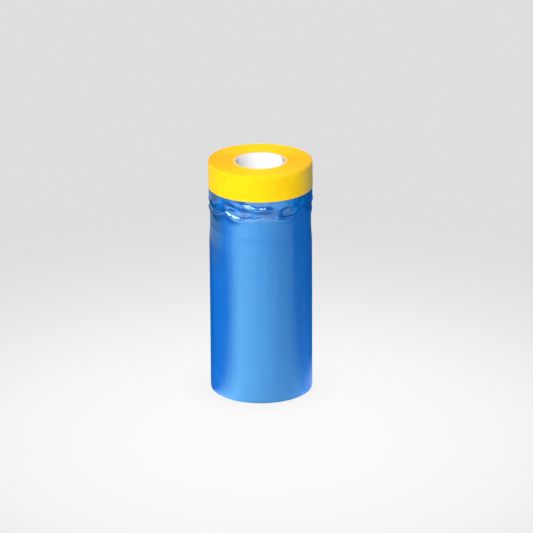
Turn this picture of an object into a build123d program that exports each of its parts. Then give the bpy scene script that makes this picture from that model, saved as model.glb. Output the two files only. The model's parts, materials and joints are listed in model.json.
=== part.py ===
from build123d import *

# Pre-taped masking film roll, standing on end.
#
# A 19 mm masking tape is wound on a paperboard core together with a pleated plastic film,
# whose top edge is bonded under the tape's lower half.  Below the tape the film crosses a
# short loose collar and then lies folded in four panels.  The last turn is modelled layer
# by layer, and its free end is a flap that peels off the roll.
#
# Frame: origin on the core axis in the plane the roll stands on, +Z up along the core.
# Azimuths run anticlockwise from +X, seen from above.

import os
from math import cos, degrees, radians, sin

# Driving dimensions, in millimetres and degrees
ROLL_HEIGHT = 171.0
TAPE_DIAMETER = 74.0
TAPE_WIDTH = 19.0
FILM_DIAMETER = 73.2
FILM_WIDTH = 550.0
PANELS = 4  # the film is folded down, up, down, up
BORE_DIAMETER = 35.0

# Free end: the tape runs past the film, and its tip is folded under into a dry pull tab
PEEL_AZIMUTH = 85.0  # where the free end leaves the roll
FILM_LEAD_ARC = 32.0
TAPE_LEAD_ARC = 41.0
TAB_ARC = 8.0

# Layer thicknesses, drawn thicker than the real webs so that each is a closed solid
LINER_THICKNESS = 0.2
BOARD_THICKNESS = 0.6
COVER_THICKNESS = 0.2
TAPE_THICKNESS = 0.18
ADHESIVE_THICKNESS = 0.10
FILM_THICKNESS = 0.15
LAYER_GAP = 0.04  # between the last turn and the windings under it
PLEAT_PITCH = 0.30  # from one film panel to the next
END_GAP_ARC = 0.3  # between the last turn's cut ends

# Collar, hem and ends
HEADER_OVERLAP = 9.5  # film bonded under the tape
HEADER_DROP = 0.5  # straight film below the tape, before the collar bulges
COLLAR_BULGE_RADIUS = 36.92  # outermost reach of the loose film below the tape
HEM_HEIGHT = 136.0  # free edge of the outermost panel
NECK_DROP = 1.0  # the collar is back inside the pleats this far below the hem
PLEAT_LEAD_IN = 2.0  # straight film above the upper fold
BASE_CLEARANCE = 0.5  # outermost pleats above the standing plane
CORE_RECESS = 0.5  # core end below the tape's top face
BASE_ROUNDING = 2.0

# Header plies that cross from the wound pleats up to the wound tape; every second one is
# a free hem and stops short of the tape
PLY_COUNT = 17
PLY_THICKNESS = 0.2
PLY_MARGIN = 1.2  # from the core, and from the outside of the windings
PLY_ROOT = 1.0  # depth of a ply in the wound pleats

# Derived radii and heights
tape_radius = TAPE_DIAMETER / 2
tape_bottom = ROLL_HEIGHT - TAPE_WIDTH
tape_inside = tape_radius - TAPE_THICKNESS
adhesive_inside = tape_inside - ADHESIVE_THICKNESS
header_inside = adhesive_inside - FILM_THICKNESS
header_middle = adhesive_inside - FILM_THICKNESS / 2
header_top = tape_bottom + HEADER_OVERLAP

bore_radius = BORE_DIAMETER / 2
liner_outside = bore_radius + LINER_THICKNESS
inner_board_outside = liner_outside + BOARD_THICKNESS
outer_board_outside = inner_board_outside + BOARD_THICKNESS
core_radius = outer_board_outside + COVER_THICKNESS
core_height = ROLL_HEIGHT - CORE_RECESS

# The height of the inner folds follows from the width of the film
panel_radii = [
    FILM_DIAMETER / 2 - FILM_THICKNESS / 2 - (PANELS - 1 - i) * PLEAT_PITCH
    for i in range(PANELS)
]
fold_radius = PLEAT_PITCH / 2
fold_bottom = BASE_CLEARANCE + FILM_THICKNESS / 2 + fold_radius
first_panel = tape_bottom - fold_bottom
last_panel = HEM_HEIGHT - fold_bottom
inner_panel = (FILM_WIDTH - HEADER_OVERLAP - first_panel - last_panel) / (PANELS - 2)
fold_top = fold_bottom + inner_panel
windings_radius = panel_radii[0] - FILM_THICKNESS / 2 - LAYER_GAP

# The last turn runs from where its free end stops round to the peel line
turn_end = PEEL_AZIMUTH + 360 - END_GAP_ARC
film_tip = PEEL_AZIMUTH + FILM_LEAD_ARC
tape_tip = PEEL_AZIMUTH + TAPE_LEAD_ARC
tab_start = tape_tip - TAB_ARC
tab_inside = tape_radius + ADHESIVE_THICKNESS
tab_outside = tab_inside + TAPE_THICKNESS
fold_arc = degrees(TAPE_THICKNESS / tape_radius)  # the tape's own thickness, as an arc


def radial_plane(azimuth):
    """Half-plane through the core axis: its x is the radius and its y is the height."""
    a = radians(azimuth)
    return Plane(origin=(0, 0, 0), x_dir=(cos(a), sin(a), 0), z_dir=(sin(a), -cos(a), 0))


def wall(inner, outer, bottom, top):
    """Adds the section of a tube wall to the current sketch."""
    with Locations(((inner + outer) / 2, (bottom + top) / 2)):
        Rectangle(outer - inner, top - bottom)


def core_ply(inner, outer):
    """Adds one full-height ply of the core to the current part."""
    with BuildSketch(radial_plane(0)) as section:
        wall(inner, outer, 0, core_height)
    revolve(section.sketch, axis=Axis.Z)


def tape_band(inner, outer, start, end):
    """Adds a tape-wide band between two azimuths to the current part."""
    with BuildSketch(radial_plane(start)) as section:
        wall(inner, outer, tape_bottom, ROLL_HEIGHT)
    revolve(section.sketch, axis=Axis.Z, revolution_arc=end - start)


def film_centre_line():
    """Adds the pleated film's path to the current line: bonded header, loose collar, then
    the panels joined by half-round folds."""
    header_end = (header_middle, tape_bottom - HEADER_DROP)
    bulge = (COLLAR_BULGE_RADIUS - FILM_THICKNESS / 2, (tape_bottom + HEM_HEIGHT) / 2)
    neck = (panel_radii[-1] - PLEAT_PITCH, HEM_HEIGHT - NECK_DROP)
    pleat_start = (panel_radii[0], fold_top + PLEAT_LEAD_IN)
    Line((header_middle, header_top), header_end)
    Spline(header_end, bulge, neck, pleat_start, tangents=((0, -1), (0, -1)))
    Line(pleat_start, (panel_radii[0], fold_bottom))
    for i in range(1, PANELS):
        inside, outside = panel_radii[i - 1], panel_radii[i]
        at_base = i % 2 == 1
        turn = fold_bottom if at_base else fold_top
        tip = turn - fold_radius if at_base else turn + fold_radius
        far_end = fold_top if at_base else fold_bottom
        if i == PANELS - 1:
            far_end = HEM_HEIGHT
        ThreePointArc((inside, turn), ((inside + outside) / 2, tip), (outside, turn))
        Line((outside, turn), (outside, far_end))


def pleated_film(start, end):
    """Adds the pleated film between two azimuths to the current part."""
    with BuildLine() as path:
        film_centre_line()
    with BuildSketch(radial_plane(start)) as section:
        trace(path.line, line_width=FILM_THICKNESS)
    revolve(section.sketch, axis=Axis.Z, revolution_arc=end - start)


# Core: four spiral-wound plies glued together
with BuildPart() as core_liner:
    core_ply(bore_radius, liner_outside)

with BuildPart() as core_inner_board:
    core_ply(liner_outside, inner_board_outside)

with BuildPart() as core_outer_board:
    core_ply(inner_board_outside, outer_board_outside)

with BuildPart() as core_cover:
    core_ply(outer_board_outside, core_radius)

# Tape: the wound coil, stepped where the last turn's film header lies under the tape
with BuildPart() as tape_windings:
    with BuildSketch(radial_plane(0)):
        wall(core_radius, header_inside - LAYER_GAP, tape_bottom, ROLL_HEIGHT)
        wall(core_radius, adhesive_inside - LAYER_GAP, header_top + LAYER_GAP, ROLL_HEIGHT)
    revolve(axis=Axis.Z)

with BuildPart() as tape_outer_turn:
    tape_band(tape_inside, tape_radius, tape_tip + END_GAP_ARC, turn_end)

with BuildPart() as tape_adhesive:
    tape_band(adhesive_inside, tape_inside, tape_tip + END_GAP_ARC, turn_end)

# Film: wound pleats with the header plies that rise from them
with BuildPart() as film_windings:
    ply_step = (windings_radius - core_radius - 2 * PLY_MARGIN) / (PLY_COUNT - 1)
    with BuildSketch(radial_plane(0)):
        wall(core_radius, windings_radius, 0, fold_top)
        for k in range(PLY_COUNT):
            ply_inside = core_radius + PLY_MARGIN + k * ply_step - PLY_THICKNESS / 2
            ply_top = tape_bottom if k % 2 == 0 else HEM_HEIGHT
            wall(ply_inside, ply_inside + PLY_THICKNESS, fold_top - PLY_ROOT, ply_top)
    revolve(axis=Axis.Z)
    base_circles = film_windings.edges().filter_by(GeomType.CIRCLE).group_by(Axis.Z)[0]
    fillet(base_circles.sort_by(SortBy.RADIUS)[-1], BASE_ROUNDING)

with BuildPart() as film_outer_turn:
    pleated_film(film_tip + END_GAP_ARC, turn_end)

# Free end: tape, adhesive and film peel together about the line where they leave the roll
with BuildPart() as tape_lead:
    tape_band(tape_inside, tape_radius, PEEL_AZIMUTH, tab_start)
    tape_band(tape_inside, tab_outside, tab_start - fold_arc, tab_start)
    tape_band(tab_inside, tab_outside, tab_start - fold_arc, tape_tip)
    tape_band(tape_inside, tab_outside, tape_tip - fold_arc, tape_tip)
    tape_band(tape_inside, tape_radius, tab_start + END_GAP_ARC, tape_tip)

with BuildPart() as tape_lead_adhesive:
    tape_band(adhesive_inside, tape_inside, PEEL_AZIMUTH, tab_start)
    tape_band(tape_radius, tab_inside, tab_start + END_GAP_ARC, tape_tip - fold_arc)

with BuildPart() as film_lead:
    pleated_film(PEEL_AZIMUTH, film_tip)

SUB_PARTS = {
    "core_liner": core_liner,
    "core_inner_board": core_inner_board,
    "core_outer_board": core_outer_board,
    "core_cover": core_cover,
    "tape_windings": tape_windings,
    "tape_outer_turn": tape_outer_turn,
    "tape_adhesive": tape_adhesive,
    "film_windings": film_windings,
    "film_outer_turn": film_outer_turn,
    "tape_lead": tape_lead,
    "tape_lead_adhesive": tape_lead_adhesive,
    "film_lead": film_lead,
}

os.makedirs("parts", exist_ok=True)
for label, sub_part in SUB_PARTS.items():
    sub_part.part.label = label
    export_step(sub_part.part, f"parts/{label}.step")
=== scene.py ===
import json
from math import ceil, cos, pi, radians, sin, sqrt, tan

import bmesh
import bpy
import numpy as np
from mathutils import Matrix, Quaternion, Vector

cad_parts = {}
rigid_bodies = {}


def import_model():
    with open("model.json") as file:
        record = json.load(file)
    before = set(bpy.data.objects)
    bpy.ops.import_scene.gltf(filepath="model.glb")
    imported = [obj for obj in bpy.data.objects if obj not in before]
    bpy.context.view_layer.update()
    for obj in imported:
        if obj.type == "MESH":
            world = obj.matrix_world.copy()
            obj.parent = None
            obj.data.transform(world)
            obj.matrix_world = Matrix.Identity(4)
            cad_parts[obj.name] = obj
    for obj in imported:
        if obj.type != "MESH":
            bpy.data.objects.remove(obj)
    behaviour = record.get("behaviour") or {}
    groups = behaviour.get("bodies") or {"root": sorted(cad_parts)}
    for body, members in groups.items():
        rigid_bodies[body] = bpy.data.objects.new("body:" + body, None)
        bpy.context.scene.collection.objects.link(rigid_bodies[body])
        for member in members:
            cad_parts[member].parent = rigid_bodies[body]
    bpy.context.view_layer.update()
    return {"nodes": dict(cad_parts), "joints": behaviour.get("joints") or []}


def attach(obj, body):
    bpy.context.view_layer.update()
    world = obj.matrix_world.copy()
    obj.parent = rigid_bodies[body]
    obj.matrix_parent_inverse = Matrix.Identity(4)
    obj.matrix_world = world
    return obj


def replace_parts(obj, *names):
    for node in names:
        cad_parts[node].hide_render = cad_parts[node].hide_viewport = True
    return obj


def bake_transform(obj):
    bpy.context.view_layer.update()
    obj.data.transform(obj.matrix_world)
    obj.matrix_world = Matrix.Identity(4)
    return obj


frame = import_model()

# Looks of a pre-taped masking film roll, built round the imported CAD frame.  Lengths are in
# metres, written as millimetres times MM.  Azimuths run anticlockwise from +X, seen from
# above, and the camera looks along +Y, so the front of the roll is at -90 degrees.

MM = 0.001


# ---- Sizes taken from the frame ----------------------------------------------------------

def polar(node):
    """Radius, azimuth in radians and height of every vertex of a CAD node."""
    co = np.array([v.co for v in frame["nodes"][node].data.vertices])
    return np.hypot(co[:, 0], co[:, 1]), np.arctan2(co[:, 1], co[:, 0]), co[:, 2]


tape_r, _, tape_z = polar("tape_outer_turn")
TAPE_OUT = tape_r.max()
TAPE_IN = tape_r.min()
TAPE_TOP = tape_z.max()
TAPE_BOTTOM = tape_z.min()
ADHESIVE_IN = polar("tape_adhesive")[0].min()

end_r, end_az, _ = polar("tape_lead")
PEEL = end_az.min()          # azimuth where the free end leaves the roll
TAPE_TIP = end_az.max()
TAB_OUT = end_r.max()
FILM_TIP = polar("film_lead")[1].max()

film_r, _, film_z = polar("film_outer_turn")
FILM_BASE = film_z.min()
HEADER_TOP = film_z.max()
FILM_OUT = film_r[film_z < TAPE_BOTTOM / 2].max()
PACK_OUT = polar("film_windings")[0].max()

LINER_IN = polar("core_liner")[0].min()
LINER_OUT = polar("core_liner")[0].max()
BOARD_MIDDLE = polar("core_inner_board")[0].max()
BOARD_OUT = polar("core_outer_board")[0].max()
CORE_OUT = polar("core_cover")[0].max()
CORE_TOP = polar("core_cover")[2].max()

hinge = frame["joints"][0]
ROLL, FREE_END = hinge["parent"], hinge["child"]

# ---- Shape of the soft film --------------------------------------------------------------

FILM_SLACK = 0.17 * MM       # the wound film sits a little inside its CAD solid
FILM_THICKNESS = 0.06 * MM
PLEAT_PITCH = 0.12 * MM
PANELS = 4
FOLD_TOP = 127 * MM          # upper folds of the inner panels
WAIST_TOP = 124 * MM
WAIST_BOTTOM = 111 * MM
WAIST_DEPTH = 0.65 * MM
HEM_LOW = 135.9 * MM         # lowest and highest points of the scalloped hem
HEM_HIGH = 140.3 * MM
HEM_PINCHES = (13, 58, 101, 148, 190, 227, 272, 325)   # azimuths where the hem clings
HEM_ZONE = 120 * MM          # above this height the outer panel is loose
HEM_CREST = 1.20 * MM
HEM_CREST_LEAST = 0.3 * MM
HEM_RISE = 3.0               # mm from below the crest up to it
HEM_FLANK = 2.3              # mm from the crest up to where the film is back on the roll
HEM_TRIM = 0.92              # the film is cut at this share of the flank
COLLAR_BULGE = 0.38 * MM     # reach of the collar beyond the straight line down
COLLAR_CREASE = 0.24 * MM
COLLAR_CLEARANCE = 0.25 * MM   # least gap to the turns under it
COLLAR_ROOM = 1.9 * MM       # hollow behind the collar, at the tape
COLLAR_ROWS = 46             # grid rows of the loose film
HEM_ROWS = 44
SEAM_LEAD = radians(10)      # the free end's soft pieces start this far before the hinge
COLUMNS = 400                # grid columns round the roll
CLOTH_FRAMES = 18
CLOTH_REACH = 0.35 * MM      # the cloth simulation moves no point further than this
TURN_STEP = 0.30 * MM        # the last turn of tape winds outwards by this much
PACK_GAP = 0.10 * MM         # between the last turn's pleats and the turns under them
COLLAR_TUCK = 3.4 * MM       # the collar's loose film runs on behind the hem by this much
HEM_GAP = 0.12 * MM          # least gap between the hem and the film behind it
UNDER_HEM = 139.0 * MM       # free hem of the turn below

# Puckers and hollows at the front of the collar: azimuth, height in mm, tilt and half
# length in degrees, and size in mm, negative for a hollow
FRONT_PUCKERS = (
    (-102, 146.9, -14, 8.0, 1.5),
    (-85, 145.9, -2, 8.0, 1.5),
    (-106, 140.3, 20, 3.5, 0.9),
    (-122, 145.2, -10, 9.0, -1.4),
    (-64, 144.0, 15, 6.0, -1.0),
    (-69, 139.5, 14, 3.5, 1.3),
    (-52, 147.2, -14, 8.0, 0.8),
    (-147, 145.5, 16, 7.0, 0.4),
)
HEM_SWELLS = ((-127, 13, 0.90), (-92, 14, -0.40), (-66, 6, 0.30))  # azimuth, reach, share
SIDE_PUCKER_STEP = 17        # degrees between the puckers of the sides and the back
PUCKER_UPPER = 1.8           # mm, width of a pucker's upper flank
PUCKER_LOWER = 2.2


def turned_from(az, degrees_at):
    """Angle of az from a direction given in degrees, between -pi and pi."""
    return (az - radians(degrees_at) + pi) % (2 * pi) - pi


def smooth(t):
    """Eases from 0 to 1 as t goes from 0 to 1."""
    t = np.clip(t, 0, 1)
    return t * t * (3 - 2 * t)


def relief(seed, around, wavelength, terms=26):
    """A smooth random height of about unit size: a function of azimuth and height.
    around is its range of waves round the roll, and wavelength its shortest wave upwards."""
    rng = np.random.default_rng(seed)
    waves = rng.integers(around[0], around[1] + 1, terms)
    climb = rng.uniform(-1, 1, terms) * 2 * pi / wavelength
    phase = rng.uniform(0, 2 * pi, terms)

    def height(az, z):
        total = sum(np.cos(m * az + k * z + p) for m, k, p in zip(waves, climb, phase))
        return total / sqrt(terms / 2)

    return height


body_relief = relief(3, (2, 9), 90 * MM)
flute_relief = relief(5, (10, 34), 120 * MM)
collar_relief = relief(11, (4, 13), 15 * MM, 30)
hem_relief = relief(17, (5, 18), 16 * MM)
tape_relief = relief(23, (3, 16), 30 * MM)


def hem_height(az):
    """Height of the hem's crest: scallops that hang between the pinches."""
    turn = 2 * pi
    pinches = np.sort(np.radians(HEM_PINCHES) % turn)
    rng = np.random.default_rng(31)
    sag = rng.uniform(0.7, 1.0, len(pinches))
    az = az % turn
    k = np.searchsorted(pinches, az) % len(pinches)
    after, before = pinches[k], pinches[k - 1]
    t = ((az - before) % turn) / ((after - before) % turn)
    hang = 1 - np.abs(2 * t - 1) ** 1.8
    return HEM_HIGH - (HEM_HIGH - HEM_LOW) * hang * sag[k]


def film_radius(az, z):
    """Middle of the outermost panel below the hem."""
    waist = smooth((z - WAIST_BOTTOM) / (WAIST_TOP - WAIST_BOTTOM))
    waves = 0.07 * body_relief(az, z) + 0.025 * flute_relief(az, z)
    foot = smooth(1 - (z - FILM_BASE) / (3 * MM))
    return FILM_OUT - FILM_SLACK - waist * WAIST_DEPTH + (waves - 0.25 * foot) * MM


def front_swells(az):
    """Where the hem's crest stands out more, or less, at the front."""
    return sum(size * np.exp(-((turned_from(az, at) / radians(reach)) ** 2))
               for at, reach, size in HEM_SWELLS)


def hem_flank(az):
    """Height in mm of the slope from the hem's crest up to its free edge."""
    return HEM_FLANK * (1 + 0.6 * np.clip(front_swells(az), 0, None))


def hem_radius(az, z):
    """Middle of the outermost panel in the hem zone, with its swagged crest."""
    over = (z - hem_height(az)) / MM
    upper = 1 - smooth(over / hem_flank(az))
    crest = np.where(over > 0, upper, np.exp(-((over / HEM_RISE) ** 2)))
    size = HEM_CREST * (0.62 + 0.15 * hem_relief(az, z * 0) + front_swells(az))
    settle = 0.25 * MM * smooth(over / 2)
    return film_radius(az, z) + crest * np.clip(size, HEM_CREST_LEAST, None) + settle


def pucker(az, z, centre, height, tilt, reach, size):
    """A soft ridge in the collar, leaning by tilt degrees and steeper on its upper flank."""
    away = turned_from(az, centre)
    along = away * TAPE_OUT
    up = (z - height * MM - along * tan(radians(tilt))) / MM
    width = np.where(up > 0, PUCKER_UPPER, PUCKER_LOWER)
    return size * MM * np.exp(-((np.degrees(away) / reach) ** 2) - (up / width) ** 2)


def side_puckers():
    """Random puckers for the sides and the back of the collar."""
    rng = np.random.default_rng(37)
    places = np.arange(-30, 208, SIDE_PUCKER_STEP)
    n = len(places)
    size = rng.uniform(0.6, 1.1, n) * rng.choice((-1, 1, 1), n)
    return list(zip(places + rng.uniform(-5, 5, n), rng.uniform(139.5, 148.0, n),
                    rng.uniform(-22, 22, n), rng.uniform(5, 9, n), size))


PUCKERS = list(FRONT_PUCKERS) + side_puckers()


def collar_radius(az, z):
    """Middle of the loose film between the tape and the hem."""
    t = np.clip((TAPE_BOTTOM - z) / (TAPE_BOTTOM - HEM_LOW), 0, 1.2)
    top = ADHESIVE_IN - 0.12 * MM
    low = film_radius(az, z) - (PANELS - 1) * PLEAT_PITCH - 0.1 * MM
    line = top + (low - top) * smooth(t)
    loose = np.sin(np.clip(t, 0, 1) * pi) ** 0.8
    bulge = COLLAR_BULGE * np.sin(np.clip(t * 1.25, 0, 1) * pi)
    contact_shadow = COLLAR_CREASE * loose * collar_relief(az, z)
    ridges = sum(pucker(az, z, *p) for p in PUCKERS)
    loose_film = line + bulge + contact_shadow + np.clip(1.4 * loose, 0, 1) * ridges
    return np.maximum(loose_film, under_radius(az, z) + COLLAR_CLEARANCE)


def under_radius(az, z):
    """Surface of the turns that lie under the last one."""
    wound = film_radius(az, z) - PANELS * PLEAT_PITCH - PACK_GAP
    top = ADHESIVE_IN - COLLAR_ROOM
    rise = smooth((z - HEM_ZONE) / (TAPE_BOTTOM - HEM_ZONE))
    return wound + (top - wound) * rise


# ---- Mesh building -----------------------------------------------------------------------

def points_at(r, az, z):
    """Cartesian points of polar ones."""
    return np.stack(np.broadcast_arrays(r * np.cos(az), r * np.sin(az), z), -1)


def quads(rows, cols, close_rows=False, close_cols=False):
    """Faces of a grid, closed on itself where asked."""
    i = np.arange(rows if close_rows else rows - 1)[:, None]
    j = np.arange(cols if close_cols else cols - 1)[None, :]
    i2, j2 = (i + 1) % rows, (j + 1) % cols
    corners = (i * cols + j, i * cols + j2, i2 * cols + j2, i2 * cols + j)
    return np.stack(np.broadcast_arrays(*corners), -1).reshape(-1, 4)


def make_piece(name, verts, faces, materials, face_material=None):
    """A mesh object with outward normals, smooth shading and crisp edges."""
    mesh = bpy.data.meshes.new(name)
    mesh.from_pydata(verts.tolist(), [], faces.tolist())
    for m in materials:
        mesh.materials.append(m)
    if face_material is not None:
        mesh.polygons.foreach_set("material_index", face_material.astype(np.int32))
    bm = bmesh.new()
    bm.from_mesh(mesh)
    bmesh.ops.recalc_face_normals(bm, faces=bm.faces)
    bm.to_mesh(mesh)
    bm.free()
    mesh.shade_smooth()
    mesh.set_sharp_from_angle(angle=radians(50))
    piece = bpy.data.objects.new(name, mesh)
    bpy.context.scene.collection.objects.link(piece)
    return piece


def turned(name, loop, columns, shape, materials, twist=0.0):
    """A closed ring.  loop is its section as (radius, height) points all the way round, and
    shape(r, az, z) moves them; twist leans the columns, in radians per metre."""
    loop = np.array(loop)
    az = np.linspace(0, 2 * pi, columns, endpoint=False)[None, :]
    r, z = loop[:, :1] + 0 * az, loop[:, 1:] + 0 * az
    az = az + twist * z
    r, z = shape(r, az, z)
    verts = points_at(r, az, z).reshape(-1, 3)
    return make_piece(name, verts, quads(len(loop), columns, True, True), materials)


def sheet(name, grid, thickness, materials, row_material=None):
    """A thin closed solid from a grid of points: two skins and the rim that joins them."""
    rows, cols = grid.shape[:2]
    normal = np.cross(np.gradient(grid, axis=0), np.gradient(grid, axis=1))
    normal /= np.linalg.norm(normal, axis=2, keepdims=True) + 1e-12
    skins = [grid + normal * thickness / 2, grid - normal * thickness / 2]
    verts = np.concatenate([s.reshape(-1, 3) for s in skins])
    face = quads(rows, cols)
    n = rows * cols
    index = np.arange(n).reshape(rows, cols)
    border = np.concatenate(
        [index[0, :-1], index[:-1, -1], index[-1, :0:-1], index[:0:-1, 0]]
    )
    after = np.roll(border, -1)
    rim = np.stack([border, after, after + n, border + n], -1)
    faces = np.concatenate([face, face[:, ::-1] + n, rim])
    kinds = None
    if row_material is not None:
        per_face = np.repeat(np.array(row_material)[:-1], cols - 1)
        kinds = np.concatenate([per_face, per_face, np.zeros(len(rim), int)])
    return make_piece(name, verts, faces, materials, kinds)


def hold_ends(rows, first, last):
    """1 on the first and last rows of a sheet, easing to 0 between them."""
    i = np.arange(rows)
    held = np.zeros(rows)
    for rows_held, away in ((first, i), (last, rows - 1 - i)):
        if rows_held:
            held = np.maximum(held, np.clip(2 - away / rows_held, 0, 1))
    return held


def crumple(grid, held, growth, seed):
    """Lets a sheet that closes round the roll buckle as cloth.  held is 1 where a row stays
    put, and the cloth grows by the given share, less and less towards the held rows."""
    rows, cols = grid.shape[:2]
    scale = 20.0              # the solver is steadier on centimetre cells
    rng = np.random.default_rng(seed)
    start = grid + rng.normal(0, 0.02 * MM, grid.shape) * (1 - held)[:, None, None]
    mesh = bpy.data.meshes.new("cloth_trial")
    verts = (start.reshape(-1, 3) * scale).tolist()
    mesh.from_pydata(verts, [], quads(rows, cols, False, True).tolist())
    trial = bpy.data.objects.new("cloth_trial", mesh)
    scene = bpy.context.scene
    scene.collection.objects.link(trial)
    ease = 9                  # rows over which the growth fades in
    window = np.hanning(2 * ease + 1)
    growing = np.convolve(np.pad(1 - held, ease, "edge"), window / window.sum(), "valid")
    growing = growing * (1 - held)
    for name, weights in (("held", held), ("growing", growing)):
        group = trial.vertex_groups.new(name=name)
        for i in range(rows):
            group.add(list(range(i * cols, (i + 1) * cols)), float(weights[i]), "REPLACE")
    cloth = trial.modifiers.new("cloth", "CLOTH")
    cloth.settings.quality = 5
    cloth.settings.mass = 0.05
    cloth.settings.air_damping = 4
    cloth.settings.tension_stiffness = 12
    cloth.settings.compression_stiffness = 12
    cloth.settings.shear_stiffness = 6
    cloth.settings.bending_stiffness = 1.5
    cloth.settings.shrink_min = 0
    cloth.settings.shrink_max = -growth
    cloth.settings.vertex_group_shrink = "growing"
    cloth.settings.vertex_group_mass = "held"
    cloth.settings.effector_weights.gravity = 0
    cloth.collision_settings.use_collision = False
    cloth.point_cache.frame_end = CLOTH_FRAMES
    for f in range(1, CLOTH_FRAMES + 1):
        scene.frame_set(f)
    settled = trial.evaluated_get(bpy.context.evaluated_depsgraph_get())
    co = np.array([v.co for v in settled.data.vertices]).reshape(grid.shape) / scale
    bpy.data.objects.remove(trial)
    bpy.data.meshes.remove(mesh)
    scene.frame_set(1)
    move = co - grid
    size = np.linalg.norm(move, axis=2, keepdims=True)
    return grid + move * np.minimum(1, CLOTH_REACH / np.maximum(size, 1e-9))


# ---- Materials ---------------------------------------------------------------------------

class Look:
    """A procedural material: short calls that add and wire its nodes."""

    def __init__(self, name):
        self.material = bpy.data.materials.new(name)
        self.material.use_nodes = True
        self.tree = self.material.node_tree
        self.surface = self.tree.nodes["Principled BSDF"]
        self.out = self.tree.nodes["Material Output"]

    def add(self, kind, **inputs):
        """Adds a node.  Names that start with a capital, or are numbered as i0, are inputs,
        given as values or sockets; the others are the node's settings."""
        node = self.tree.nodes.new("ShaderNode" + kind)
        for key in [k for k in inputs if not self.is_input(k)]:
            setattr(node, key, inputs[key])
        for key in [k for k in inputs if self.is_input(k)]:
            self.set(node, key, inputs[key])
        return node

    @staticmethod
    def is_input(key):
        return key[0].isupper() or key[1:].isdigit()

    def set(self, node, key, value):
        """Gives an input a value or a link."""
        number = key[1:] if key[1:].isdigit() else None
        socket = node.inputs[int(number) if number else key.replace("_", " ")]
        if isinstance(value, bpy.types.NodeSocket):
            self.tree.links.new(value, socket)
        else:
            socket.default_value = value

    def math(self, operation, a, b=0.0):
        return self.add("Math", operation=operation, i0=a, i1=b).outputs[0]

    def times(self, a, b):
        return self.math("MULTIPLY", a, b)

    def length(self, x, y):
        """Length of a flat vector."""
        return self.math("SQRT", self.math("ADD", self.times(x, x), self.times(y, y)))

    def place(self, stretch=(1, 1, 1)):
        """Position on the object at rest, stretched."""
        coord = self.add("TexCoord").outputs["Object"]
        return self.add("Mapping", Vector=coord, Scale=stretch).outputs[0]

    def noise(self, size, detail=3.0, vector=None, stretch=(1, 1, 1), roughness=0.5):
        """Noise with features of about size, in metres."""
        vector = vector or self.place(stretch)
        node = self.add("TexNoise", Vector=vector, Scale=1 / size, Detail=detail,
                        Roughness=roughness)
        return node.outputs[0]

    def span(self, value, low, high, to_low=0.0, to_high=1.0, kind="LINEAR"):
        """Maps a value from one range to another, clamped."""
        return self.add("MapRange", Value=value, From_Min=low, From_Max=high, To_Min=to_low,
                        To_Max=to_high, interpolation_type=kind).outputs[0]

    def ease(self, value, low, high, to_low=0.0, to_high=1.0):
        """As span, with soft ends."""
        return self.span(value, low, high, to_low, to_high, "SMOOTHSTEP")

    def mix(self, share, a, b):
        """Colour between a and b."""
        node = self.add("Mix", data_type="RGBA", i0=share)
        for index, value in ((6, a), (7, b)):
            if isinstance(value, tuple):
                value = (*value, 1)
            self.set(node, f"i{index}", value)
        return node.outputs[2]

    def bump(self, height, distance, normal=None):
        node = self.add("Bump", Height=height, Distance=distance)
        if normal is not None:
            self.set(node, "Normal", normal)
        return node.outputs[0]

    def finish(self, **inputs):
        """Sets inputs of the surface, and hands over the material."""
        for key, value in inputs.items():
            if isinstance(value, tuple):
                value = (*value, 1)
            self.set(self.surface, key, value)
        return self.material

    def ring_place(self):
        """Distance from the roll's axis, in metres, and azimuth over a full turn."""
        x, y, _ = self.add("SeparateXYZ", i0=self.place()).outputs
        turn = self.math("DIVIDE", self.math("ARCTAN2", y, x), 2 * pi)
        return self.length(x, y), turn

    def edge_on(self, low, high, to_high=1.0):
        """Rises from 0 as the surface turns from facing the eye to being seen edge on."""
        facing = self.add("LayerWeight", Blend=0.5).outputs["Facing"]
        return self.span(facing, low, high, 0, to_high)

    def limb_shade(self, azimuth, there, edge_on):
        """1 where the side of the roll at this azimuth, in degrees, is seen edge on.  there is
        the range of the cosine of the angle from that side, and edge_on is as above."""
        # Mask of a painted shade at one limb of the roll
        a = radians(azimuth)
        cosine = self.add("VectorMath", operation="DOT_PRODUCT", i0=self.place(),
                          i1=(cos(a) / TAPE_OUT, sin(a) / TAPE_OUT, 0)).outputs["Value"]
        return self.times(self.span(cosine, *there), self.edge_on(*edge_on))

    def painted_sheen_across_turns(self):
        """1 where the wound turns run across the line of sight, 0 where they run along it."""
        # Share of a painted sheen that follows the wound turns
        flat = self.add("VectorMath", operation="MULTIPLY", i0=self.place(), i1=(1, 1, 0))
        outwards = self.add("VectorMath", operation="NORMALIZE", i0=flat.outputs[0])
        sight = self.add("NewGeometry").outputs["Incoming"]
        towards_eye = self.add("VectorMath", operation="DOT_PRODUCT", i0=outwards.outputs[0],
                               i1=sight).outputs["Value"]
        return self.times(towards_eye, towards_eye)


def tape_edge_look():
    """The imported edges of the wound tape: a fine line for each turn."""
    look = Look("tape_edges")
    cloudy = look.noise(9 * MM, 4)
    radius, turn = look.ring_place()
    turns = look.math("SUBTRACT", look.math("DIVIDE", radius, 0.19 * MM), turn)
    line = look.add("TexNoise", noise_dimensions="1D", W=turns, Scale=1.0, Detail=1.5)
    line = line.outputs[0]
    # Painted sheen: yellower where the turns run across the line of sight, more orange where
    # they run along it
    colour = look.mix(look.painted_sheen_across_turns(), (0.92, 0.445, 0.003), (0.94, 0.63, 0.005))
    colour = look.mix(look.span(cloudy, 0.3, 0.7, 0.3, 0), colour, (0.90, 0.47, 0.003))
    colour = look.mix(look.span(line, 0.3, 0.7, 0.4, 0.0), colour, (0.84, 0.42, 0.003))
    normal = look.bump(line, 0.05 * MM)
    normal = look.bump(look.noise(0.6 * MM, 3), 0.02 * MM, normal)
    return look.finish(Base_Color=colour, Roughness=0.62, Normal=normal,
                       Specular_IOR_Level=0.12)


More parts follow.
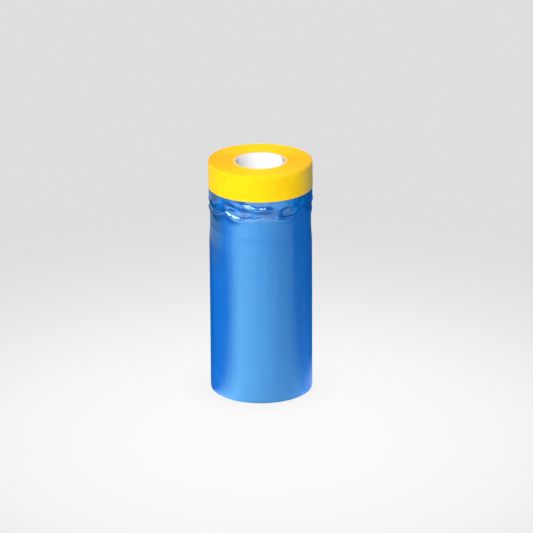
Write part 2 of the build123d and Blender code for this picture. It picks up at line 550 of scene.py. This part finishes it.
def tape_face_look():
    """Yellow tape paper with fine crepe lines, and a painted olive shade where its right limb
    turns away.
    """
    look = Look("tape_face")
    cloudy = look.noise(9 * MM, 4)
    colour = look.mix(look.span(cloudy, 0.35, 0.65), (0.93, 0.57, 0.002), (0.96, 0.645, 0.003))
    crepe = look.noise(0.9 * MM, 4, stretch=(1, 1, 0.12))
    fibre = look.noise(0.35 * MM, 2, stretch=(1, 1, 0.7))
    fleck = look.span(look.noise(1.3 * MM, 5, stretch=(1, 1, 0.25)), 0.55, 0.8, 0, 0.3)
    colour = look.mix(fleck, colour, (0.99, 0.70, 0.02))
    # Painted shade: olive at the right limb, where the tape is seen edge on
    colour = look.mix(look.limb_shade(5, (0.58, 0.92), (0.30, 0.66)), colour, (0.58, 0.45, 0.10))
    normal = look.bump(crepe, 0.05 * MM)
    normal = look.bump(fibre, 0.012 * MM, normal)
    rough = look.span(fibre, 0.3, 0.7, 0.42, 0.56)
    return look.finish(Base_Color=colour, Roughness=rough, Normal=normal,
                       Specular_IOR_Level=0.14)


def film_look(name, clear):
    """Blue film.  clear is the share of light that goes straight through: none where the film
    is pleated, and some where it is a single loose ply."""
    look = Look(name)
    haze = look.noise(14 * MM, 2.5, stretch=(1, 1, 0.4))
    mottle = look.noise(6 * MM, 2, stretch=(1, 1, 0.6))
    deep = (0.000, 0.110, 0.460)
    light = (0.000, 0.128, 0.515)
    colour = look.mix(look.span(haze, 0.25, 0.75), deep, light)
    colour = look.mix(look.span(mottle, 0.15, 0.85, 0, 0.3), colour, (0.001, 0.15, 0.54))
    violet = look.noise(6 * MM, 1.5)
    colour = look.mix(look.span(violet, 0.15, 0.85, 0, 0.27), colour, (0.010, 0.102, 0.49))
    # Painted light: a brighter blue where the film is seen edge on, at both limbs
    colour = look.mix(look.edge_on(0.14, 0.50), colour, (0.000, 0.150, 0.640))
    crinkle = look.noise(3.5 * MM, 2, stretch=(1, 1, 0.4))
    normal = look.bump(haze, 0.10 * MM)
    normal = look.bump(crinkle, 0.018 * MM, normal)
    height = look.add("SeparateXYZ", i0=look.place()).outputs[2]
    # Painted shade: the film turns darker and greyer at the left limb, growing from 86 mm up
    # towards the hem
    painted_shade = look.times(look.limb_shade(-170, (0.74, 0.93), (0.16, 0.44)),
                      look.span(violet, 0.2, 0.6, 0.7, 1.0))
    painted_shade = look.times(painted_shade, look.span(height, 86 * MM, 126 * MM, 0, 0.85))
    colour = look.mix(painted_shade, colour, (0.014, 0.072, 0.225))
    # Above the hem the film is shinier, and its reflections are whiter
    loose = look.span(height, 136 * MM, 138.5 * MM)
    rough = look.span(mottle, 0.2, 0.8, 0.20, 0.31)
    rough = look.math("ADD", rough, look.times(loose, -0.09))
    look.finish(Base_Color=colour, Roughness=rough, Normal=normal,
                IOR=look.math("ADD", 2.0, look.times(loose, 0.15)),
                Specular_Tint=look.mix(loose, (0.42, 1.0, 0.92), (0.70, 1.0, 0.96)))
    if clear:
        # Painted light: patches of brighter cyan on the loose ply, as where light shines
        # through it
        painted_glow = look.span(look.noise(9 * MM, 2), 0.48, 0.66, 0, 0.7)
        colour = look.mix(painted_glow, colour, (0.000, 0.30, 0.90))
        look.finish(Base_Color=colour, Roughness=0.12, IOR=2.1,
                    Specular_Tint=(0.62, 1.0, 0.96))
        through = look.add("BsdfTransparent", Color=(0.30, 0.62, 1.0, 1))
        both = look.add("MixShader", i0=clear, i1=look.surface.outputs[0],
                        i2=through.outputs[0])
        look.tree.links.new(both.outputs[0], look.out.inputs[0])
    return look.material


def paper_look(name, colour, shade, roughness, grain, edge_shade=0.0):
    """Paper or board: soft clouding, fibres and a matte grain.  The last argument is the share
    of a painted grey shade where it is seen edge on."""
    look = Look(name)
    cloud = look.span(look.noise(5 * MM, 4), 0.3, 0.7)
    fibre = look.noise(grain, 4, stretch=(1, 1, 0.4))
    tone = look.mix(cloud, colour, shade)
    tone = look.mix(look.span(fibre, 0.5, 0.8, 0, 0.4), tone, shade)
    if edge_shade:
        # Painted shade: greyer where the surface is seen edge on, as on the shaded walls of
        # the bore
        tone = look.mix(look.edge_on(0.42, 0.85, edge_shade), tone, (0.36, 0.31, 0.36))
    return look.finish(Base_Color=tone, Roughness=roughness,
                       Normal=look.bump(fibre, 0.03 * MM))


def adhesive_look():
    """Clear tacky layer: pale, glossy and a little uneven."""
    look = Look("adhesive")
    wet = look.noise(1.2 * MM, 4)
    tone = look.mix(look.span(wet, 0.35, 0.65), (0.90, 0.66, 0.10), (0.94, 0.76, 0.22))
    return look.finish(Base_Color=tone, Roughness=0.28, Coat_Weight=0.4,
                       Normal=look.bump(wet, 0.03 * MM))


tape_face = tape_face_look()
tape_edges = tape_edge_look()
film_pleats = film_look("film_pleats", 0)
film_single = film_look("film_single", 0.22)
liner_paper = paper_look("liner_paper", (0.94, 0.94, 0.94), (0.88, 0.88, 0.89), 0.55, 0.5 * MM,
                         0.8)
board = paper_look("board", (0.86, 0.58, 0.25), (0.72, 0.47, 0.19), 0.85, 0.35 * MM)
cover_paper = paper_look("cover_paper", (0.92, 0.68, 0.29), (0.80, 0.57, 0.22), 0.8, 0.5 * MM)
adhesive = adhesive_look()


# ---- Core --------------------------------------------------------------------------------

LINER_HELIX = 2 * pi / (62 * MM)    # the liner's spiral seam climbs 62 mm a turn
LINER_COLUMNS = 220


def ply(name, inner, outer, look, seed, seam_height=0.0):
    """One paper ply of the core, its upper end cut slightly unevenly."""
    cut = relief(seed, (3, 40), 1.0)
    heights = np.linspace(0, CORE_TOP, 60)
    loop = [(inner, z) for z in heights] + [(outer, z) for z in heights[::-1]]

    def shape(r, az, z):
        end = smooth((z - CORE_TOP + 3 * MM) / (3 * MM))
        z = z - end * 0.08 * MM * (1 + 0.6 * cut(az, 0))
        seam = np.exp(-((((az - LINER_HELIX * z) % (2 * pi)) - pi) / 0.02) ** 2)
        return r + seam * seam_height, z

    piece = turned(name, loop, LINER_COLUMNS, shape, [look], LINER_HELIX)
    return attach(piece, ROLL)


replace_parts(ply("liner", LINER_IN, LINER_OUT, liner_paper, 41, 0.10 * MM),
            "core_liner")
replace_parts(ply("board_inner", LINER_OUT, BOARD_MIDDLE, board, 42),
            "core_inner_board")
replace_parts(ply("board_outer", BOARD_MIDDLE, BOARD_OUT, board, 43),
            "core_outer_board")
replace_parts(ply("core_wrap", BOARD_OUT, CORE_OUT, cover_paper, 44),
            "core_cover")


# ---- Wound coils -------------------------------------------------------------------------

def along_spiral(seed, slowest, fastest, terms=14):
    """A random height along a spiral's length, so that neighbouring turns differ."""
    rng = np.random.default_rng(seed)
    rate = rng.uniform(slowest, fastest, terms)
    phase = rng.uniform(0, 2 * pi, terms)
    return lambda s: sum(np.cos(w * s + p) for w, p in zip(rate, phase)) / sqrt(terms / 2)


def spiral_relief(r, az, pitch, lift, ridge, heights):
    """Height of a wound face: rounded turns that stand a little above or below each other."""
    turns = (r - CORE_OUT) / pitch - az / (2 * pi)
    whole = np.floor(turns)
    fold = np.sqrt(np.abs(np.sin(pi * (turns - whole))))
    return lift * heights(2 * pi * whole + az) + ridge * fold


def edge_sag(az):
    """How far the outer turns of tape sit down, most at the front right."""
    return (0.35 + 0.40 * np.exp(-((turned_from(az, -42) / radians(30)) ** 2))) * MM


def tape_crown(r, az):
    """Drop of the tape's upper face towards its outer edge."""
    return edge_sag(az) * smooth((r - TAPE_OUT + 2.0 * MM) / (2.0 * MM)) ** 2


def edge_lean(r, z):
    """How far the outer turns lean inwards at their upper edge, which rounds it."""
    return (0.32 * MM * smooth((z - TAPE_TOP + 1.7 * MM) / (1.7 * MM)) ** 2
            * smooth((r - TAPE_OUT + 2.5 * MM) / (1.5 * MM)))


COIL_PITCH = 0.42 * MM
COIL_OUT = ADHESIVE_IN - 0.20 * MM
coil_heights = along_spiral(51, 0.12, 0.9)


def coil_shape(r, az, z):
    upper = smooth((z - TAPE_TOP + 0.2 * MM) / (0.2 * MM))
    face = spiral_relief(r, az, COIL_PITCH, 0.035 * MM, 0.05 * MM, coil_heights)
    dish = (TAPE_TOP - CORE_TOP) * (COIL_OUT - r) / (COIL_OUT - CORE_OUT)
    crown = face - 0.10 * MM - dish - tape_crown(r, az)
    return r - edge_lean(r, z), z + upper * crown


coil_steps = ceil((COIL_OUT - CORE_OUT) / COIL_PITCH * 6)
coil_radii = np.linspace(CORE_OUT, COIL_OUT, coil_steps)
coil_loop = [(r, TAPE_TOP) for r in coil_radii]
coil_loop += [(COIL_OUT, z) for z in np.linspace(TAPE_TOP - 0.3 * MM, TAPE_BOTTOM, 20)]
coil_loop += [(r, TAPE_BOTTOM) for r in np.linspace(COIL_OUT, CORE_OUT, 12)[1:]]
coil_loop += [(CORE_OUT, z) for z in np.linspace(TAPE_BOTTOM, TAPE_TOP, 12)[1:-1]]
coil = turned("tape_coil", coil_loop, 256, coil_shape, [tape_edges])
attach(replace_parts(coil, "tape_windings"), ROLL)

PACK_PITCH = 1.05 * MM
pack_heights = along_spiral(57, 0.15, 1.1)


def pack_shape(r, az, z):
    lower = smooth(1 - z / (3 * MM))
    face = spiral_relief(r, az, PACK_PITCH, 0.22 * MM, 0.35 * MM, pack_heights)
    low_edge = smooth((r - PACK_OUT + 1.5 * MM) / (1.5 * MM)) ** 2 * 0.9 * MM
    z = z + lower * np.maximum(0.75 * MM - face, 0) * (r < PACK_OUT + MM) + lower * low_edge
    outside = smooth((r - PACK_OUT + 0.5 * MM) / (0.5 * MM))
    return r + outside * (under_radius(az, z) - r), z


pack_steps = ceil((PACK_OUT - CORE_OUT) / PACK_PITCH * 8)
pack_radii = np.linspace(PACK_OUT, CORE_OUT, pack_steps)
pack_loop = [(r, 0) for r in pack_radii[::-1]]
pack_loop += [(PACK_OUT, z) for z in np.linspace(0.4 * MM, TAPE_BOTTOM - 0.2 * MM, 110)]
pack_loop += [(r, TAPE_BOTTOM - 0.2 * MM) for r in np.linspace(PACK_OUT, CORE_OUT, 10)[1:]]
pack_loop += [(CORE_OUT, z) for z in np.linspace(TAPE_BOTTOM, 0, 12)[1:-1]]
pack = turned("film_pack", pack_loop, 320, pack_shape, [film_pleats])
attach(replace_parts(pack, "film_windings"), ROLL)


# ---- Last turn of tape, and its free end -------------------------------------------------

RING_START = FILM_TIP + radians(0.3)
RING_END = PEEL + 2 * pi - SEAM_LEAD
FLAP_START = PEEL - SEAM_LEAD


def wind(az):
    """How far inside its outermost place the last turn still is at an azimuth."""
    return TURN_STEP * np.clip(1 - (az - RING_START) / (RING_END - RING_START), 0, 1)


def band_grid(radius, az, low, high, rows):
    """Grid of a tape-like band: radius and azimuth run along it, and rows climb it."""
    up = np.linspace(0, 1, rows)[:, None]
    az, radius = az[None, :], radius[None, :]
    crown = np.where(radius > ADHESIVE_IN, tape_crown(radius, az), 0) + 0.05 * MM
    z = low + up * (high - crown - low)
    wave = 0.035 * MM * tape_relief(az, z)
    return points_at(radius - edge_lean(radius, z + crown) + wave, az, z)


tape_middle = (TAPE_IN + TAPE_OUT) / 2
tape_thickness = TAPE_OUT - TAPE_IN
glue_middle = (ADHESIVE_IN + TAPE_IN) / 2
glue_thickness = (TAPE_IN - ADHESIVE_IN) * 0.9


def tape_sheet(name, radius, az):
    """A length of tape along a path of radii and azimuths."""
    grid = band_grid(radius, az, TAPE_BOTTOM, TAPE_TOP, 26)
    return sheet(name, grid, tape_thickness, [tape_face])


def glue_sheet(name, radius, az):
    """The adhesive behind a length of tape, a little narrower than the tape."""
    grid = band_grid(radius, az, TAPE_BOTTOM + 0.3 * MM, TAPE_TOP - 0.4 * MM, 8)
    return sheet(name, grid, glue_thickness, [adhesive])


ring_az = np.linspace(RING_START, RING_END, COLUMNS)
ring = tape_sheet("tape_band", tape_middle - wind(ring_az), ring_az)
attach(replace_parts(ring, "tape_outer_turn"), ROLL)
glue = glue_sheet("adhesive_band", glue_middle - wind(ring_az), ring_az)
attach(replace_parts(glue, "tape_adhesive"), ROLL)

# The tape's tip steps outwards, turns back on itself and lies adhesive to adhesive
TAB_ARC = radians(8)
tab_start = TAPE_TIP - TAB_ARC
tab_middle = TAB_OUT - tape_thickness / 2
lead_az = np.linspace(FLAP_START, TAPE_TIP - radians(0.25), 110)
lead_r = tape_middle + (tab_middle - tape_middle) * smooth((lead_az - tab_start + 0.01) / 0.02)
bend = np.linspace(pi / 2, -pi / 2, 9)[1:-1]
half = (tab_middle - tape_middle) / 2
bend_r = (tab_middle + tape_middle) / 2 + half * np.sin(bend)
bend_az = lead_az[-1] + half * np.cos(bend) / TAPE_OUT
back_az = np.linspace(lead_az[-1], tab_start + radians(0.8), 22)
path_az = np.concatenate([lead_az, bend_az, back_az])
path_r = np.concatenate([lead_r, bend_r, 0 * back_az + tape_middle])


def on_free_end(piece, node):
    """Hides the CAD node that a free-end piece replaces, and bakes the piece's placement into
    its mesh.
    """
    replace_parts(piece, node)
    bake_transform(piece)


on_free_end(tape_sheet("tape_end", path_r, path_az), "tape_lead")
glue_az = np.linspace(FLAP_START, tab_start - radians(0.6), 80)
glue_end = glue_sheet("adhesive_end", glue_middle + 0 * glue_az, glue_az)
on_free_end(glue_end, "tape_lead_adhesive")


# ---- Last turn of film, and its free end -------------------------------------------------

film_az = FLAP_START + np.arange(COLUMNS) * 2 * pi / COLUMNS


def rows_between(low, high, count):
    """Heights of rows, as a column that spreads over every azimuth."""
    return np.linspace(low, high, count)[:, None] + 0 * film_az[None, :]


def panel_rows(index, heights):
    """Rows of one panel, counted from the outermost, at the given heights."""
    az = film_az[None, :]
    return points_at(film_radius(az, heights) - index * PLEAT_PITCH, az, heights)


def fold_rows(index, at_base):
    """Half-round fold between panel index + 1 and panel index."""
    az = film_az[None, :]
    turn = np.linspace(0, pi, 7)[1:-1, None]
    reach = PLEAT_PITCH / 2
    level = (FILM_BASE if at_base else FOLD_TOP) + 0.04 * MM * body_relief(az * 3, 0)
    z = level - (1 if at_base else -1) * reach * np.sin(turn)
    r = film_radius(az, level) - (index + 0.5) * PLEAT_PITCH - reach * np.cos(turn)
    return points_at(r, az, z)


def film_sheet():
    """The whole film as one grid: header, collar, then four panels up to the free hem."""
    az = film_az[None, :]
    base = FILM_BASE + 0.04 * MM * body_relief(az * 3, 0)
    top = FOLD_TOP + 0.04 * MM * body_relief(az * 3, 0)

    header_z = rows_between(HEADER_TOP, TAPE_BOTTOM + 0.4 * MM, 6)
    header = points_at(ADHESIVE_IN - 0.08 * MM + 0 * az, az, header_z)

    collar_z = rows_between(TAPE_BOTTOM, HEM_LOW - COLLAR_TUCK, COLLAR_ROWS)
    collar = points_at(collar_radius(az, collar_z), az, collar_z)
    collar = crumple(collar, hold_ends(COLLAR_ROWS, 2, 3), growth=0.025, seed=71)

    hem_top = hem_height(az) + HEM_TRIM * hem_flank(az) * MM + 0.35 * MM * hem_relief(az, 0)
    share = 1 - np.linspace(1, 0, HEM_ROWS)[:, None] ** 1.7   # rows crowd towards the hem
    hem_z = HEM_ZONE + share * (hem_top - HEM_ZONE)
    hem = points_at(hem_radius(az, hem_z), az, hem_z)
    hem = crumple(hem, hold_ends(HEM_ROWS, 6, 0), growth=0.02, seed=73)
    hem = keep_outside(hem, collar, HEM_GAP)

    down = np.linspace(0, 1, 14)[1:, None]
    panel_1 = panel_rows(3, collar_z[-1:] + down * (base - collar_z[-1:]))
    panel_2 = panel_rows(2, base + np.linspace(0, 1, 12)[:, None] * (top - base))
    panel_3 = panel_rows(1, top + np.linspace(0, 1, 12)[:, None] * (base - top))
    panel_4 = panel_rows(0, base + np.linspace(0, 1, 60)[:-1, None] * (HEM_ZONE - base))
    parts = [header, collar, panel_1, fold_rows(2, True), panel_2, fold_rows(1, False),
             panel_3, fold_rows(0, True), panel_4, hem]
    single = len(header) + len(collar)
    pleated = sum(len(p) for p in parts[2:])
    return np.concatenate(parts), [1] * single + [0] * pleated


def keep_outside(cover, inner, gap):
    """Pushes a sheet outwards where it would touch the one inside it."""
    cover = cover.copy()
    for j in range(cover.shape[1]):
        inner_r = np.hypot(inner[:, j, 0], inner[:, j, 1])
        order = np.argsort(inner[:, j, 2])
        under = np.interp(cover[:, j, 2], inner[order, j, 2], inner_r[order])
        r = np.hypot(cover[:, j, 0], cover[:, j, 1])
        grow = np.maximum(r, under + gap) / r
        cover[:, j, :2] *= grow[:, None]
    return cover


def under_hem():
    """The free hem of the turn below, where the peeled end uncovers it."""
    az = np.linspace(FLAP_START - radians(2), FILM_TIP + radians(6), 90)[None, :]
    edge = UNDER_HEM + 1.2 * MM * hem_relief(az + 1, 0)
    z = HEM_ZONE - 2 * MM + np.linspace(0, 1, 30)[:, None] * (edge - HEM_ZONE + 2 * MM)
    lift = smooth((z - HEM_ZONE) / (8 * MM))
    rise = lift * 0.16 * MM * (1 + 0.5 * collar_relief(az, z))
    return points_at(under_radius(az, z) + 0.05 * MM + rise, az, z)


film_grid, film_kinds = film_sheet()
tip_column = int(np.searchsorted(film_az, FILM_TIP))
closing = np.concatenate([film_grid[:, tip_column + 1:], film_grid[:, :1]], axis=1)
film_materials = [film_pleats, film_single]
wrap = sheet("film_wrap", closing, FILM_THICKNESS, film_materials, film_kinds)
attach(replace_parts(wrap, "film_outer_turn"), ROLL)

film_end = sheet("film_end", film_grid[:, :tip_column + 1], FILM_THICKNESS,
                 film_materials, film_kinds)
on_free_end(film_end, "film_lead")

below = sheet("film_under_hem", under_hem(), FILM_THICKNESS, [film_pleats])
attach(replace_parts(below, "film_windings"), ROLL)


# ---- Stage -------------------------------------------------------------------------------

def floor_look():
    """Pale floor, brightest round the roll.  It glows by itself, with one strength for the
    eye, one for mirror images in the film and one for the light it throws on the roll."""
    look = Look("floor")
    x, y, _ = look.add("SeparateXYZ", i0=look.place()).outputs
    side = look.math("ARCTAN2", x, look.times(y, -1))   # angle from the front, right positive
    near = look.length(x, y)                            # distance from the roll's axis

    # To the eye: a wide painted pool of light, and a faint painted contact shadow
    far = look.length(look.math("DIVIDE", x, 0.30),
                      look.math("DIVIDE", look.math("ADD", y, 0.10), 0.33))
    contact_shadow = look.add("AmbientOcclusion", Distance=0.03).outputs["AO"]
    seen = look.times(look.ease(far, 0.20, 1.42, 0.965, 0.73),
                      look.span(contact_shadow, 0.0, 1.0, 0.86, 1.0))

    # In the film's mirror: lit in front, brighter to the left, and dim at the sides, as
    # between studio panels; also at its foot, behind it and far to the left
    left = look.math("ADD", side, look.span(near, 0.22, 0.40, 0.0, radians(9)))
    lit = look.times(look.ease(left, radians(-82), radians(-36)),
                     look.span(side, radians(58), radians(80), 1.0, 0.0))
    lean = look.times(look.span(side, radians(-40), radians(50), 3.1, 0.95),
                      look.span(near, 0.04, 0.34, 1.05, 0.9))
    steep = look.add("SeparateXYZ", i0=look.add("NewGeometry").outputs["Incoming"]).outputs[2]
    lean = look.times(lean, look.span(steep, 0.55, 0.90, 1.0, 0.2))
    foot = look.times(look.span(near, 0.045, 0.080, 0.55, 0.0),
                      look.span(side, radians(-80), radians(70), 0.05, 1.0))
    behind = look.span(look.math("ABSOLUTE", side), radians(150), radians(176), 0.0, 0.5)
    far_left = look.times(look.span(near, 0.33, 0.40, 0.0, 0.6),
                          look.span(side, radians(-98), radians(-82), 1.0, 0.0))
    mirrored = look.math("MAXIMUM", look.times(lit, lean), foot)
    mirrored = look.math("MAXIMUM", mirrored, look.math("MAXIMUM", behind, far_left))

    # On the roll: an even light, with more from close by at the sides, most at the right
    spill = look.times(look.span(near, 0.05, 0.26, 1.0, 0.0),
                       look.span(look.math("ABSOLUTE", side), radians(20), radians(80)))
    spill = look.times(spill, look.span(side, radians(-60), radians(60), 1.15, 2.6))
    bounced = look.math("ADD", spill, 0.55)

    path = look.add("LightPath")
    value = look.add("Mix", data_type="FLOAT", i0=path.outputs["Is Camera Ray"], i2=bounced,
                     i3=seen).outputs[0]
    value = look.add("Mix", data_type="FLOAT", i0=path.outputs["Is Glossy Ray"], i2=value,
                     i3=mirrored).outputs[0]
    glowing = look.add("Emission", Color=(1, 1, 1, 1), Strength=value)
    look.tree.links.new(glowing.outputs[0], look.out.inputs[0])
    return look.material


def add_floor():
    """A wide flat floor under the roll."""
    half = 6.0
    mesh = bpy.data.meshes.new("floor")
    bm = bmesh.new()
    bmesh.ops.create_grid(bm, x_segments=4, y_segments=4, size=half)
    bm.to_mesh(mesh)
    bm.free()
    floor = bpy.data.objects.new("floor", mesh)
    bpy.context.scene.collection.objects.link(floor)
    floor.location.z = -0.05 * MM
    mesh.materials.append(floor_look())


# Soft square panels: azimuth and elevation in degrees, distance and size in metres, watts.
# Azimuth 0 is the camera's side, and positive is to its right.
LIGHTS = {
    "key": (-25, 40, 1.4, 0.9, 18),
    "accent_left": (-64, 36, 1.4, 0.30, 3.6),
    "accent_right": (10, 40, 1.4, 0.28, 2.2),
    "rear": (150, 45, 0.7, 0.5, 1.6),
}
CAMERA_ELEVATION = 20.41
CAMERA_DISTANCE = 3.0
CAMERA_ROLL = -0.39
LENS = 284.5
LENS_SHIFT = (0.0104, 0.0130)


def towards(azimuth, elevation, distance):
    """Point at a distance from the roll; azimuth 0 is the camera's side, positive right."""
    a, e = radians(azimuth), radians(elevation)
    return Vector((sin(a) * cos(e), -cos(a) * cos(e), sin(e))) * distance


def add_panel(name, azimuth, elevation, distance, size, watts):
    """A soft studio panel aimed at the roll."""
    light = bpy.data.lights.new(name, "AREA")
    light.shape = "SQUARE"
    light.size = size
    light.energy = watts
    lamp = bpy.data.objects.new(name, light)
    bpy.context.scene.collection.objects.link(lamp)
    middle = Vector((0, 0, TAPE_TOP / 2))
    lamp.location = middle + towards(azimuth, elevation, distance)
    lamp.rotation_euler = (lamp.location - middle).to_track_quat("Z", "Y").to_euler()


def add_world():
    """A grey studio, darker where glossy surfaces mirror it."""
    world = bpy.data.worlds.new("studio")
    world.use_nodes = True
    tree = world.node_tree
    background = tree.nodes["Background"]
    background.inputs["Color"].default_value = (0.73, 0.73, 0.73, 1)
    dim = tree.nodes.new("ShaderNodeMapRange")
    dim.inputs["To Min"].default_value = 0.55
    dim.inputs["To Max"].default_value = 0.045
    path = tree.nodes.new("ShaderNodeLightPath")
    tree.links.new(path.outputs["Is Glossy Ray"], dim.inputs["Value"])
    tree.links.new(dim.outputs[0], background.inputs["Strength"])
    bpy.context.scene.world = world


def add_camera():
    """The photo's view: nearly a telephoto, from a little above."""
    data = bpy.data.cameras.new("camera")
    data.sensor_width = 36.0
    data.lens = LENS
    data.shift_x, data.shift_y = LENS_SHIFT
    camera = bpy.data.objects.new("camera", data)
    bpy.context.scene.collection.objects.link(camera)
    middle = Vector((0, 0, TAPE_TOP / 2))
    camera.location = middle + towards(0, CAMERA_ELEVATION, CAMERA_DISTANCE)
    aim = (camera.location - middle).to_track_quat("Z", "Y")
    roll = Quaternion((0, 0, 1), radians(CAMERA_ROLL))
    camera.rotation_euler = (aim @ roll).to_euler()
    data.clip_start, data.clip_end = 0.01, 50
    bpy.context.scene.camera = camera


add_floor()
for panel, settings in LIGHTS.items():
    add_panel(panel, *settings)
add_world()
add_camera()
bpy.context.scene.view_settings.view_transform = "Standard"
